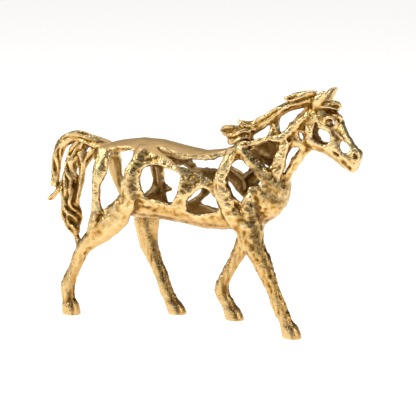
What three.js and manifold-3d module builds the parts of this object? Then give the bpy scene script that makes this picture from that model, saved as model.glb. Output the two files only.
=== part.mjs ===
// Openwork walking horse for a table top, cast in one piece: a thin shell of trunk, neck and head, pierced
// by rounded windows on both sides, on four solid legs, with a solid mane and tail. It faces +X, its left
// side is +Y, and its hooves stand at z = 0.
import * as THREE from "three";
import { mergeVertices } from "three/addons/utils/BufferGeometryUtils.js";
import Module from "manifold-3d";

const wasm = await Module();
wasm.setup();

// Driving sizes, in millimetres
const statueHeight = 308; // from the soles to the tip of the taller ear
const bodyWall = 6.5; // thickness of the trunk's shell
const neckWall = 6; // thickness of the neck's shell
const headWall = 4.5; // thickness of the head's shell
const spineWidth = 38; // width of the strap along the loins, between the openings in the back
const throatWidth = 9; // width of the bar left along the throat, between the windows in it
const tailGap = 34; // width of the opening between the buttocks
const nostrilDepth = 5; // how deep the nostrils are sunk
const mouthWidth = 2.2; // width of the groove between the lips

// The pose and the carving are shares of the height, given in units of a 308th of it
const unit = statueHeight / 308;
const NEAR = -1;
const FAR = 1;
const SIDEWAYS = new THREE.Vector3(0, 1, 0);
const FORWARDS = new THREE.Vector3(1, 0, 0);
const beyondSides = 70; // a depth clear of the widest part of the body
const innerDetail = 0.62; // the inside of a shell has this share of the rings and sides of its outside
const roundness = 2.2; // how square the sections of limbs, locks and hooves are

const at = (x, y, z) => new THREE.Vector3(x, y, z).multiplyScalar(unit);

// A closed three.js geometry as a solid that can be joined and cut
function solid(geometry) {
  const bare = new THREE.BufferGeometry();
  bare.setAttribute("position", geometry.getAttribute("position"));
  bare.setIndex(geometry.index);
  const merged = mergeVertices(bare, 1e-4);
  const mesh = new wasm.Mesh({
    numProp: 3,
    vertProperties: new Float32Array(merged.attributes.position.array),
    triVerts: new Uint32Array(merged.index.array),
  });
  return new wasm.Manifold(mesh);
}

const joined = (solids) => solids.reduce((all, next) => all.add(next));

// A closed skin over rings of points, each ring running the same way round as the next
function skin(rings) {
  const count = rings[0].length;
  const last = (rings.length - 1) * count;
  const points = rings.flat();
  for (const end of [rings[0], rings.at(-1)]) {
    const middle = end.reduce((sum, p) => sum.add(p), new THREE.Vector3()).divideScalar(count);
    points.push(middle);
  }
  const faces = [];
  for (let i = 0; i < last; i += count) {
    for (let j = 0; j < count; j++) {
      const k = (j + 1) % count;
      faces.push([i + j, i + k, i + count + k], [i + j, i + count + k, i + count + j]);
    }
  }
  for (let j = 0; j < count; j++) {
    const k = (j + 1) % count;
    faces.push([last + count, k, j], [last + count + 1, last + j, last + k]);
  }
  const geometry = new THREE.BufferGeometry().setFromPoints(points);
  const made = solid(geometry.setIndex(faces.flat()));
  if (made.volume() > 0) return made;
  return solid(geometry.setIndex(faces.flatMap((face) => face.toReversed())));
}

// One ring, a rounded oval: squareness 2 is an ellipse, and taper narrows its top
function ring(centre, across, up, halfAcross, halfUp, sides, squareness = 2, taper = 0) {
  const rounded = (value) => Math.sign(value) * Math.abs(value) ** (2 / squareness);
  return Array.from({ length: sides }, (_, i) => {
    const turn = ((i + 0.5) / sides) * 2 * Math.PI;
    const c = rounded(Math.cos(turn)) * halfAcross;
    const s = rounded(Math.sin(turn));
    const width = c * (1 - (taper * (s + 1)) / 2);
    return centre.clone().addScaledVector(across, width).addScaledVector(up, s * halfUp);
  });
}

// A table of stations smoothed to steps + 1 rows, between two shares of its length
function smoothRows(stations, steps, from = 0, to = 1) {
  const columns = stations[0].map((_, c) => {
    return new THREE.SplineCurve(stations.map((row, i) => new THREE.Vector2(i, row[c])));
  });
  return Array.from({ length: steps + 1 }, (_, i) => {
    const share = from + ((to - from) * i) / steps;
    return columns.map((curve) => curve.getPoint(share).y);
  });
}

// A barrel over stations [top x, top z, bottom x, bottom z, half width, sideways shift], shrunk by an inset
function barrel({ stations, steps, sides, squareness, taper }, inset = 0, from = 0, to = 1) {
  const detail = inset > 0 ? innerDetail : 1;
  const ringSides = Math.round(sides * detail);
  const rows = smoothRows(stations, Math.round(steps * detail), from, to);
  const rings = rows.map(([topX, topZ, bottomX, bottomZ, half, shift]) => {
    const top = at(topX, shift, topZ);
    const bottom = at(bottomX, shift, bottomZ);
    const up = top.clone().sub(bottom);
    const halfUp = up.length() / 2 - inset;
    const centre = top.add(bottom).divideScalar(2);
    return ring(centre, SIDEWAYS, up.normalize(), half * unit - inset, halfUp, ringSides, squareness, taper);
  });
  return skin(rings);
}

// A limb, lock or bar over stations [x, y, z, half width seen from the side, half thickness sideways]
function limb(stations, sides) {
  const centres = stations.map(([x, y, z]) => at(x, y, z));
  const rings = stations.map(([, , , half, thick], i) => {
    const next = centres[i + 1] ?? centres[i];
    const along = next.clone().sub(centres[Math.max(i - 1, 0)]);
    const across = new THREE.Vector3().crossVectors(along, SIDEWAYS).normalize();
    const side = new THREE.Vector3().crossVectors(across, along).normalize();
    return ring(centres[i], across, side, half * unit, thick * unit, sides, roundness);
  });
  return skin(rings);
}

// A closed outline through corners, rounded where they are few, pushed from one depth to another
function prism(corners, from, to) {
  const points = corners.length < 8 ? corners.length * 2 : corners.length;
  const curve = new THREE.CatmullRomCurve3(corners.map(([a, b]) => at(a, b, 0)), true, "centripetal");
  const outline = curve.getPoints(points).slice(0, points).map((p) => new THREE.Vector2(p.x, p.y));
  const depth = (to - from) * unit;
  const shape = new THREE.Shape(outline);
  const geometry = new THREE.ExtrudeGeometry(shape, { depth, bevelEnabled: false, steps: 1 });
  geometry.translate(0, 0, from * unit);
  return geometry;
}

// Cutters for a window seen from the side, [x, z], from above, [x, y], and from behind, [y, z]. A side
// window goes no deeper than inner, its distance from the middle plane
function sideCut(side, inner, corners) {
  const reach = side === NEAR ? [inner, beyondSides] : [-beyondSides, -inner];
  return solid(prism(corners, ...reach).rotateX(Math.PI / 2));
}

const topCut = (from, to, corners) => solid(prism(corners, from, to));

function rearCut(from, to, corners) {
  return solid(prism(corners, from, to).rotateX(Math.PI / 2).rotateZ(Math.PI / 2));
}

const trunk = {
  steps: 12,
  sides: 20,
  squareness: 2.4,
  taper: 0,
  stations: [
    [-150, 218, -140, 140, 20, 0],
    [-139, 223, -128, 136, 27, 0],
    [-110, 229, -104, 131, 35, 0],
    [-80, 233, -78, 131, 38, 0],
    [-50, 230, -50, 131, 39, 0],
    [-18, 223, -18, 127, 39, 0],
    [10, 222, 10, 124, 38, 0],
    [36, 231, 38, 127, 36, 0],
    [60, 238, 66, 131, 33, 0],
    [82, 226, 88, 143, 28, 0],
    [98, 208, 101, 158, 20, 0],
    [104, 192, 106, 172, 10, 0],
  ],
};

const neck = {
  steps: 6,
  sides: 14,
  squareness: 2.2,
  taper: 0.45,
  stations: [
    [30, 226, 88, 150, 28, 0],
    [44, 244, 101, 182, 26, 0],
    [62, 257, 106, 198, 21, 0],
    [80, 268, 112, 209, 17, 0],
    [100, 280, 119, 218, 14.5, 0],
    [120, 290, 127, 229, 14, -1],
    [136, 294, 137, 235, 14, -2],
  ],
};

const head = {
  steps: 9,
  sides: 14,
  squareness: 2.3,
  taper: 0.2,
  stations: [
    [124, 288, 124, 240, 10, -1],
    [136, 294, 132, 232, 15, -2],
    [153, 290, 143, 231, 18, -3],
    [168, 278, 153, 228, 17, -4],
    [177, 262, 161, 224, 14, -6],
    [184, 250, 168, 220, 12, -7],
    [191, 241, 176, 214, 11.5, -8],
    [197.5, 233, 186, 210.5, 11, -9],
    [199, 227, 193, 213, 7.5, -10],
  ],
};

// The hollow shell, closed at the breast and at the muzzle: a hollow runs between two shares of its barrel
const trunkHollow = [0.02, 0.94];
const neckHollow = [0, 1];
const headHollow = [0, 0.8];

function shell() {
  const outside = joined([barrel(trunk), barrel(neck), barrel(head)]);
  const inside = joined([
    barrel(trunk, bodyWall, ...trunkHollow),
    barrel(neck, neckWall, ...neckHollow),
    barrel(head, headWall, ...headHollow),
  ]);
  return outside.subtract(inside);
}

// Windows in the trunk
const rumpNear = [
  [-127, 220], [-105, 222], [-89, 221], [-87, 210], [-94, 194], [-103, 177], [-104, 162], [-115, 151],
  [-127, 142], [-132, 152], [-134, 169], [-131, 182], [-124, 192], [-124, 208],
];
const flankNear = [
  [-78, 187], [-73, 201], [-63, 206], [-49, 206], [-36, 201], [-24, 198], [-23, 189], [-26, 178],
  [-31, 165], [-36, 157], [-50, 161], [-68, 164], [-76, 174],
];
const ribNear = [
  [-15, 165], [-3, 178], [8, 184], [17, 178], [24, 171], [26, 159], [25, 153], [10, 149], [-4, 147],
  [-15, 151],
];
const backNear = [
  [-3, 216], [0, 206], [6, 198], [13, 193], [20, 191], [23, 200], [27, 212], [31, 222], [8, 228],
];
const shoulderNear = [
  [39, 212], [46, 218], [53, 219], [62, 216], [65, 209], [65, 196], [63, 184], [63, 174], [59, 165],
  [52, 167], [43, 175], [38, 186], [37, 200],
];
const breastNear = [[64, 205], [71, 206], [76, 198], [80, 192], [75, 188], [65, 187], [61, 180]];
const rumpFar = [
  [-127, 217], [-92, 217], [-91, 195], [-86, 175], [-87, 160], [-97, 150], [-110, 152], [-121, 160],
  [-127, 172], [-129, 185], [-129, 200],
];
const flankFar = [
  [-73, 190], [-75, 178], [-70, 168], [-60, 162], [-68, 158], [-71, 152], [-66, 146], [-42, 146],
  [-29, 153], [-20, 163], [-24, 180], [-45, 195],
];
const ribFar = [
  [-23, 147], [-10, 160], [2, 172], [16, 179], [24, 171], [31, 163], [40, 157], [34, 146], [10, 141],
];
const shoulderFar = [
  [4, 205], [17, 197], [26, 194], [33, 188], [38, 186], [43, 192], [45, 204], [34, 214], [12, 214],
];
const breastFar = [[64, 207], [74, 200], [77, 190], [66, 178], [54, 174], [60, 184], [62, 195]];

// Openings in the back, either side of the strap along the spine, which narrows towards the withers
function backCuts() {
  const loins = spineWidth / 2 / unit;
  const saddle = loins * 0.82;
  const withers = loins * 0.6;
  const aboveBack = 240;
  const nearDepth = 200;
  const farDepth = 192;
  const near = [
    [-66, -loins + 1], [-52, -loins + 1], [-34, -loins - 1], [-16, -loins], [0, -saddle],
    [20, -withers], [34, -withers], [36, -26], [22, -45], [-2, -45], [-10, -32], [-30, -31], [-44, -27],
    [-57, -22],
  ];
  const far = [
    [-42, loins], [0, saddle], [20, withers], [36, withers], [44, 24], [36, 37], [-28, 37], [-42, 30],
  ];
  return [topCut(nearDepth, aboveBack, near), topCut(farDepth, aboveBack, far)];
}

// The opening between the buttocks, under the tail, and the one below it between the hind legs
function rearCuts() {
  const half = tailGap / 2 / unit;
  const behindBody = -170;
  const insideBody = -120;
  const underHocks = 110;
  const underTail = 202;
  const behind = [[-half, 204], [half, 204], [half, 150], [-half, 150]];
  const below = [[-165, half + 6], [-108, half + 4], [-108, -half - 4], [-165, -half - 6]];
  return [rearCut(behindBody, insideBody, behind), topCut(underHocks, underTail, below)];
}

function trunkCuts() {
  const near = [rumpNear, flankNear, ribNear, backNear, shoulderNear, breastNear];
  const far = [rumpFar, flankFar, ribFar, shoulderFar, breastFar];
  const inTrunk = 16;
  return [
    ...near.map((corners) => sideCut(NEAR, inTrunk, corners)),
    ...far.map((corners) => sideCut(FAR, inTrunk, corners)),
    ...backCuts(),
    ...rearCuts(),
  ];
}

// Windows in the neck
const neckBaseNear = [
  [63, 231], [71, 236], [82, 239], [98, 239], [98, 227], [93, 216], [86, 209], [81, 210], [78, 219],
  [70, 224],
];
const crestLowNear = [[61, 243], [68, 250], [75, 257], [80, 261], [83, 257], [80, 249], [75, 244]];
const crestHighNear = [
  [94, 267], [98, 274], [108, 277], [115, 282], [123, 285], [128, 284], [127, 279], [118, 270],
  [108, 259], [103, 251], [100, 248], [96, 251],
];
const crestLowFar = [[50, 236], [60, 250], [72, 260], [79, 262], [82, 254], [76, 244], [64, 236]];
const crestHighFar = [
  [94, 246], [99, 254], [104, 262], [112, 269], [120, 277], [124, 284], [114, 283], [104, 277],
  [92, 268], [87, 258],
];
const throatNear = [
  [123, 237], [115, 236], [109, 232], [105, 219], [102, 207], [96, 191], [107, 207], [117, 224],
];
const throatFar = [
  [118, 234], [109, 232], [100, 229], [95, 215], [88, 190], [92, 186], [98, 200], [108, 218],
];
const jawNear = [[118, 252], [123, 256], [128, 252], [128, 246], [122, 246]];
const jawFar = [[106, 242], [110, 250], [118, 250], [120, 243], [114, 239]];

function neckCuts() {
  const bar = throatWidth / 2 / unit;
  const inNeck = 8;
  const pastMiddle = -1;
  return [
    sideCut(NEAR, inNeck, neckBaseNear),
    sideCut(NEAR, pastMiddle, crestLowNear),
    sideCut(NEAR, pastMiddle, crestHighNear),
    sideCut(FAR, pastMiddle, crestLowFar),
    sideCut(FAR, pastMiddle, crestHighFar),
    sideCut(NEAR, bar, throatNear),
    sideCut(FAR, bar, throatFar),
    sideCut(NEAR, bar, jawNear),
    sideCut(FAR, bar, jawFar),
  ];
}

// Windows in the head, an eye on each side, the nostrils and the mouth
const cheekNear = [
  [143, 274], [146, 262], [154, 260], [161, 256], [162, 247], [156, 242], [146, 244], [138, 249],
  [139, 259],
];
const cheekFar = [
  [138, 256], [144, 258], [152, 258], [158, 254], [160, 246], [154, 240], [144, 241], [140, 247],
];
const noseNear = [[173, 246], [178, 249], [184, 241], [186, 236], [181, 233], [175, 234]];
const noseFar = [[165, 240], [172, 246], [180, 238], [184, 232], [182, 227], [173, 227], [167, 232]];
const jawSlot = [[161, 236], [167, 235], [177, 228], [171, 229]];
const nostril = [[190, 231], [193, 235], [196, 231], [194, 225]];

const oval = (x, z, halfLong, halfHigh) => {
  return [[x - halfLong, z], [x, z + halfHigh], [x + halfLong, z], [x, z - halfHigh]];
};

// The mouth is a groove in each side, along the lips. The head turns a little to the near side, so its near
// side lies further out from the middle plane than its far side
function mouthCuts() {
  const half = mouthWidth / 2 / unit;
  const lipsNear = 12;
  const lipsFar = -3;
  const lips = [
    [174, 226 + half], [181, 220 + half], [189, 214], [187, 211], [180, 219 - half], [173, 225 - half],
  ];
  return [sideCut(NEAR, lipsNear, lips), sideCut(FAR, lipsFar, lips)];
}

function headCuts() {
  const inHead = 2;
  const noseInner = 6;
  const noseFarInner = -4;
  const slotInner = 8;
  const muzzleNear = 20;
  const muzzleFar = 2;
  const deep = nostrilDepth / unit;
  return [
    sideCut(NEAR, inHead, oval(160.5, 269, 6, 5.5)),
    sideCut(FAR, inHead, oval(161, 265, 6.5, 6)),
    sideCut(NEAR, inHead, cheekNear),
    sideCut(FAR, inHead, cheekFar),
    sideCut(NEAR, noseInner, noseNear),
    sideCut(FAR, noseFarInner, noseFar),
    sideCut(NEAR, slotInner, jawSlot),
    sideCut(NEAR, muzzleNear - deep, nostril),
    sideCut(FAR, muzzleFar - deep, nostril),
    ...mouthCuts(),
  ];
}

// Legs, each from inside the trunk down to the pastern
const legs = {
  nearHind: [
    [-94, -31, 168, 7, 5],
    [-101, -31, 153, 12, 8],
    [-110, -30, 138, 18, 10],
    [-122, -29, 125, 17.5, 10.5],
    [-135, -28, 112, 14.5, 10],
    [-148, -27, 102, 12, 9.5],
    [-159, -26, 91, 9.5, 8.5],
    [-167, -25, 76, 8.5, 7.5],
    [-173, -25, 62, 8, 7],
    [-180, -24, 49, 8.5, 7.5],
    [-184, -24, 38, 9.5, 8.5],
    [-184, -24, 28, 8.8, 8],
    [-181, -24, 12, 8, 7.5],
  ],
  farHind: [
    [-80, 31, 166, 5, 5],
    [-86, 31, 150, 12, 8],
    [-93, 29, 135, 19.5, 10],
    [-94, 27, 117, 17.5, 11],
    [-93, 27, 101, 14, 10.5],
    [-91, 26, 88, 12.5, 9.5],
    [-84, 26, 73, 10, 8.5],
    [-79, 25, 61, 8.8, 8],
    [-73, 25, 49, 8.5, 7.5],
    [-69, 24, 39, 8.8, 8.5],
    [-66, 24, 30, 9, 8],
    [-56.5, 24, 12, 8, 7.5],
  ],
  farFore: [
    [58, 31, 165, 7, 4],
    [57, 29, 150, 14, 7],
    [54, 27, 134, 16.5, 9],
    [49, 26, 119, 14, 10.5],
    [42, 26, 106, 12, 9.5],
    [34, 26, 91, 10, 8.5],
    [27, 25, 77, 8, 7.5],
    [21, 25, 66, 7.6, 7],
    [15, 24, 54, 7.8, 7],
    [11, 24, 45, 8.6, 8],
    [9.5, 24, 37, 9.3, 8.5],
    [13, 24, 28, 8.8, 8],
    [23.5, 24, 12, 8, 7.5],
  ],
  nearFore: [
    [67, -28, 188, 3, 3],
    [66, -30, 175, 6.5, 5],
    [63, -31, 161, 12, 6],
    [62, -30, 149, 15, 8],
    [63, -29, 137, 18, 10],
    [67, -28, 118, 16, 11],
    [73, -28, 108, 13.5, 10.5],
    [79, -27, 97, 12, 10],
    [85, -27, 83, 11, 9.5],
    [88, -26, 74, 9.8, 8.8],
    [93, -25, 62, 8.3, 7.5],
    [97, -24, 51, 8.2, 7.5],
    [101, -24, 41, 9.3, 8.5],
    [104, -24, 33, 8.8, 8],
    [115, -24, 12, 8, 7.5],
  ],
};

// A hoof under each pastern, on the same rings [z, half length, half width] from the coronet to the flat
// sole, with the x that each ring is centred on
const hoofRings = [[19, 8, 7], [14, 11, 9.5], [7, 12, 10], [0, 12.5, 10.5]];
const hoofSides = 10;
const hooves = {
  nearHind: { y: -24, centres: [-182, -181, -180, -179.5] },
  farHind: { y: 24, centres: [-60, -57, -53, -50.5] },
  farFore: { y: 24, centres: [20, 23, 26, 28] },
  nearFore: { y: -24, centres: [112, 115, 117.5, 119] },
};

function hoof({ y, centres }) {
  const rings = hoofRings.map(([z, halfLong, halfWide], i) => {
    const centre = at(centres[i], y, z);
    return ring(centre, FORWARDS, SIDEWAYS, halfLong * unit, halfWide * unit, hoofSides, roundness);
  });
  return skin(rings);
}

// Bars of the openwork that stand a little proud of the shell
const bars = {
  shoulderNear: [
    [41, -23, 230, 8, 5],
    [36, -33, 214, 7.5, 5],
    [29.5, -37, 198, 8.5, 4.5],
    [29, -38, 184, 9, 4.5],
    [36, -38, 168, 10, 4.5],
    [44, -36, 152, 11, 5],
    [53, -31, 136, 10, 5],
  ],
  haunchNear: [
    [-74, -22, 226, 9, 5],
    [-81, -33, 211, 8, 5],
    [-87, -37, 197, 9.5, 5],
    [-90, -38, 182, 12, 4.5],
    [-94, -37, 154, 12, 5],
    [-100, -33, 139, 8, 4],
  ],
  haunchFar: [
    [-72, 22, 226, 8, 5],
    [-79, 33, 210, 7, 5],
    [-81, 37, 192, 6, 4.5],
    [-79, 38, 176, 6, 4.5],
    [-80, 36, 158, 8, 5],
  ],
  buttockNear: [
    [-131, -15, 220, 10, 6],
    [-135, -26, 195, 10, 5.5],
    [-136.5, -28, 184, 9, 5],
    [-139.5, -29, 174, 6.5, 5],
    [-139, -30, 152, 5.8, 5.5],
    [-138, -30, 140, 8, 6.5],
    [-138.5, -30, 128, 10.5, 8],
    [-142, -29, 113, 11, 9],
  ],
  buttockFar: [
    [-135, 18, 218, 11, 6],
    [-139, 24, 206, 11.5, 6],
    [-138, 28, 191, 11, 5.5],
    [-137, 30, 178, 9.5, 5],
    [-134.5, 31, 168, 7.5, 5],
    [-129.5, 31, 157, 7, 5],
    [-122, 31, 146, 8, 6],
    [-112, 30, 134, 9, 7],
  ],
  breastNear: [
    [44, -20, 234, 7, 5],
    [56, -26, 228, 8, 5],
    [68, -28, 217, 9, 4.5],
    [79, -27, 205, 9, 4.5],
    [86, -24, 192, 8, 4],
    [92, -16, 176, 5, 3],
  ],
  neckUpper: [
    [135, -11, 280, 4, 3.5],
    [122, -13, 268, 4, 3.5],
    [110, -14, 256, 4.5, 3.5],
    [99, -16, 246, 6, 4],
    [84, -18, 245, 3.5, 3.5],
    [68, -20, 240, 3.5, 3.5],
    [50, -21, 236, 4.5, 4],
    [42, -17, 233, 2.5, 2],
  ],
  neckLower: [
    [106, -15, 244, 6, 3.5],
    [103, -17, 233, 6.3, 4],
    [99, -18, 220, 7.5, 4],
    [94.5, -20, 206, 8.5, 4.5],
    [89, -22, 190, 8.5, 4.5],
    [86, -19, 177, 8, 4],
  ],
  throat: [
    [133, -2, 236, 4.5, 4.5],
    [124, -2, 226, 3.5, 4],
    [114, -1, 212, 3.5, 4],
    [104, 0, 196, 4, 5],
    [98, 0, 184, 5, 6],
  ],
  jaw: [
    [141, -12, 284, 4, 3],
    [136, -13, 270, 4, 3.5],
    [133, -13, 256, 4, 3.5],
    [135, -12, 243, 4.5, 3.5],
    [142, -10, 236, 3.5, 3],
    [148, -8, 236, 1.5, 1.5],
  ],
};

// The tail: an arch of strands that falls behind the near hock and joins it
const tail = {
  outer: [
    [-128, 0, 217, 5.5, 9],
    [-149, 0, 222.5, 7.5, 9],
    [-174, 0, 229, 8.5, 7],
    [-190, -1, 226, 8, 6.5],
    [-201, -1, 215, 7, 6],
    [-205.5, -2, 203, 6.5, 5.5],
    [-206.5, -2, 190, 5.8, 5],
    [-207, -3, 178, 6.2, 5],
    [-209, -3, 168, 6.2, 5],
    [-211, -4, 160, 4, 3.5],
  ],
  curl: [
    [-188, -5, 186, 4, 4],
    [-194, -6, 174, 4, 4],
    [-199.5, -7, 163, 3.6, 3.6],
    [-206, -7, 154, 3.2, 3.2],
    [-213, -8, 147, 2.6, 2.6],
    [-220, -8, 142.5, 1.2, 1.2],
  ],
  middle: [
    [-166, -1, 224, 8, 7],
    [-176, -1, 214, 9, 8],
    [-181, -2, 204.5, 9.5, 8],
    [-184.5, -4, 194, 9.5, 8],
    [-187, -6, 171, 11.5, 8],
    [-185.5, -8, 159, 13.5, 8.5],
    [-187, -9, 147, 13.5, 8.5],
    [-186, -10, 137, 13, 8.5],
    [-182, -11, 127, 13.5, 8.5],
    [-179.5, -12, 118, 11, 8.5],
    [-176, -15, 110, 7.5, 7],
    [-173, -18, 103, 5.5, 6],
    [-165, -25, 92, 4, 4],
  ],
  inner: [
    [-140, -2, 215, 7, 7],
    [-150, -3, 212, 7, 6],
    [-158, -4, 207, 5, 5],
    [-165, -5, 198, 5.5, 5],
    [-168.5, -6, 187, 4.5, 4.5],
    [-169, -7, 177, 3.5, 4],
    [-171, -8, 166, 3.2, 4],
    [-174, -9, 154, 4, 4],
    [-177, -10, 142, 4, 4],
  ],
  web: [[-172, -4, 211, 6, 7], [-168, -5, 204, 8, 7], [-170, -6, 196, 7, 6], [-172, -7, 189, 4.5, 4.5]],
};

// Locks of the mane, blown back, and of the forelock over the brow
const locks = {
  poll: [
    [141, -2, 297, 6, 7],
    [128, -4, 297, 7, 7],
    [114, -7, 294, 5.5, 5.5],
    [106, -9, 293, 3, 3],
    [99.5, -10, 293, 0.8, 0.8],
  ],
  crest: [
    [136, -2, 292, 7, 8],
    [118, -3, 288, 6.5, 8],
    [103, -3, 282, 7, 8],
    [92, -3, 275, 7.5, 8],
    [78, -3, 266, 7.5, 8],
    [62, -3, 255, 8, 8],
    [50, -3, 244, 8, 9],
  ],
  withersUpper: [
    [66, -5, 257, 6, 6],
    [55, -7, 257, 5.5, 6],
    [48, -8, 260, 4.5, 5],
    [41.5, -9, 265, 1.2, 1.2],
  ],
  withersLong: [
    [60, -6, 249, 8, 8],
    [46, -8, 249, 9, 7],
    [34, -9, 249.5, 8.5, 6],
    [25.5, -10, 251, 6, 4],
    [19.5, -10, 253, 2, 1.5],
  ],
  withersLower: [[54, -6, 239, 9, 9], [42, -8, 240, 8, 8], [33, -9, 239, 6, 6], [27.5, -9, 238, 3, 3]],
  forelockUpper: [
    [142, -5, 290, 5.5, 8], [156, -6, 289, 5.2, 7], [166, -7, 287.5, 5, 6], [172, -8, 284.5, 3.2, 4],
  ],
  forelockLower: [
    [150, -7, 281, 4, 6], [162, -8, 276, 3.5, 5], [169, -9, 275, 4, 5], [174.5, -9, 271, 2.6, 3],
  ],
};

// An ear, with a narrower limb cut out of its front as its hollow
function ear(stations) {
  const forward = 0.75;
  const outward = 1.06;
  const narrower = 0.5;
  const hollow = stations.slice(1).map(([x, y, z, half, thick]) => {
    return [x + half * forward, y * outward, z, half * narrower, thick * narrower];
  });
  return limb(stations, 6).subtract(limb(hollow, 5));
}

const ears = {
  near: [
    [139, -11, 286, 5, 4], [143.5, -13, 293, 6.2, 5], [148, -14, 300.5, 5, 4],
    [152, -15, 307.4, 1.2, 1.2],
  ],
  far: [
    [143, 8, 286, 5, 4], [148.5, 10, 293.5, 6, 5], [154.5, 12, 301.5, 4.8, 4],
    [160.5, 13, 307.4, 1.2, 1.2],
  ],
};

function horse() {
  const cuts = [...trunkCuts(), ...neckCuts(), ...headCuts()];
  const pierced = cuts.reduce((all, cut) => all.subtract(cut), shell());
  return joined([
    pierced,
    ...Object.values(legs).map((leg) => limb(leg, 8)),
    ...Object.values(hooves).map(hoof),
    ...Object.values(bars).map((bar) => limb(bar, 6)),
    ...Object.values(tail).map((strand) => limb(strand, 6)),
    ...Object.values(locks).map((lock) => limb(lock, 6)),
    ...Object.values(ears).map(ear),
  ]);
}

const gilding = new THREE.MeshStandardMaterial({ color: "#d6a84e", roughness: 0.3, metalness: 1 });

// The mesh of a solid, set down with the middle of its underside's box at the origin
function meshOf(name, made, material) {
  const { vertProperties, triVerts } = made.getMesh();
  const geometry = new THREE.BufferGeometry();
  geometry.setAttribute("position", new THREE.BufferAttribute(new Float32Array(vertProperties), 3));
  geometry.setIndex(new THREE.BufferAttribute(new Uint32Array(triVerts), 1));
  geometry.computeVertexNormals();
  geometry.computeBoundingBox();
  const { min, max } = geometry.boundingBox;
  const mesh = new THREE.Mesh(geometry, material);
  mesh.position.set(-(min.x + max.x) / 2, -(min.y + max.y) / 2, -min.z);
  mesh.name = name;
  return mesh;
}

const group = new THREE.Group();
group.add(meshOf("horse", horse(), gilding));
export default group;
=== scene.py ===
"""Gilded openwork horse on a pale studio floor: its hair, face and hammered relief, and its gold leaf."""

import math

import bpy
import numpy as np
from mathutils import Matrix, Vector


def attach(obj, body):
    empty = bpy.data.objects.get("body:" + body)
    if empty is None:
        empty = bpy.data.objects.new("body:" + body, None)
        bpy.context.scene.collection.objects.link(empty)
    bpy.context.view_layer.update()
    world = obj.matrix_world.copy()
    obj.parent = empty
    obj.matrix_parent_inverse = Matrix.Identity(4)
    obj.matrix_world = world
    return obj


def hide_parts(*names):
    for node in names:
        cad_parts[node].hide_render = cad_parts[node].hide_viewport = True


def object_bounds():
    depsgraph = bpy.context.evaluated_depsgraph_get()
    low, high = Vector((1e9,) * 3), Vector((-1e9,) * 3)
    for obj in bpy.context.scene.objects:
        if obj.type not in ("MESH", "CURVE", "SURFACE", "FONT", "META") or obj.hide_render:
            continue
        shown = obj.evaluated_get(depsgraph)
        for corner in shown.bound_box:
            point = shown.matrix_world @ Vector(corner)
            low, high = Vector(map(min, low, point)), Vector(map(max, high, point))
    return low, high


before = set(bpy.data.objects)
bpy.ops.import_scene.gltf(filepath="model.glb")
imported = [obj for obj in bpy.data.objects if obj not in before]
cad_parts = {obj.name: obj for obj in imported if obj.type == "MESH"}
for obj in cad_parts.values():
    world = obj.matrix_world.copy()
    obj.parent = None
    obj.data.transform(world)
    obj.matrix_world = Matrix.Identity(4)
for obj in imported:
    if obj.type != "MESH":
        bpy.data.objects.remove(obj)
cad_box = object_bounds()

bl_info = {
    "name": "Gilded openwork horse",
    "version": (1, 0, 0),
    "blender": (4, 5, 0),
    "location": "View3D > Sidebar > Horse",
    "description": "Dresses the openwork horse casting in hair, relief and gold leaf, on a studio floor",
    "category": "Object",
}

MM = 0.001
NODE = "horse"
PIECE = "horse_casting"


# Properties

class CastingSizes(bpy.types.PropertyGroup):
    """Sizes of the casting's surface"""

    form_voxel: bpy.props.FloatProperty(
        name="Form grain", description="Grid that rounds the solid's facets into one skin",
        default=1.4 * MM, min=0.8 * MM, subtype="DISTANCE", unit="LENGTH", precision=4)
    fine_voxel: bpy.props.FloatProperty(
        name="Fine grain", description="Grid that joins hair, face and relief into the skin",
        default=1.1 * MM, min=0.8 * MM, subtype="DISTANCE", unit="LENGTH", precision=4)
    lump_width: bpy.props.FloatProperty(
        name="Lump width", description="Width of the hammered lumps",
        default=5.5 * MM, min=1 * MM, subtype="DISTANCE", unit="LENGTH", precision=4)
    lump_height: bpy.props.FloatProperty(
        name="Lump height", description="Height of the hammered lumps from hollow to crown",
        default=2.8 * MM, min=0, subtype="DISTANCE", unit="LENGTH", precision=4)
    knot_width: bpy.props.FloatProperty(
        name="Knot width", description="Width of the broad swellings of the bars and limbs",
        default=14 * MM, min=4 * MM, subtype="DISTANCE", unit="LENGTH", precision=4)
    knot_height: bpy.props.FloatProperty(
        name="Knot height", description="Height of the broad swellings",
        default=3.4 * MM, min=0, subtype="DISTANCE", unit="LENGTH", precision=4)
    streak_width: bpy.props.FloatProperty(
        name="Streak width", description="Width of the long furrows down the legs",
        default=3.8 * MM, min=1 * MM, subtype="DISTANCE", unit="LENGTH", precision=4)
    streak_depth: bpy.props.FloatProperty(
        name="Streak depth", description="Depth of the long furrows down the legs",
        default=2.4 * MM, min=0, subtype="DISTANCE", unit="LENGTH", precision=4)
    strand_share: bpy.props.FloatProperty(
        name="Strand thickness", description="Radius of a strand as a share of its lock's half width",
        default=0.27, min=0.1, max=1, subtype="FACTOR")
    lock_inset: bpy.props.FloatProperty(
        name="Lock inset", description="Depth of the grooves that the strands leave between them",
        default=1.9 * MM, min=0, subtype="DISTANCE", unit="LENGTH", precision=4)
    triangles: bpy.props.IntProperty(
        name="Triangles", description="Most triangles that the finished casting may have",
        default=190000, min=20000)


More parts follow.
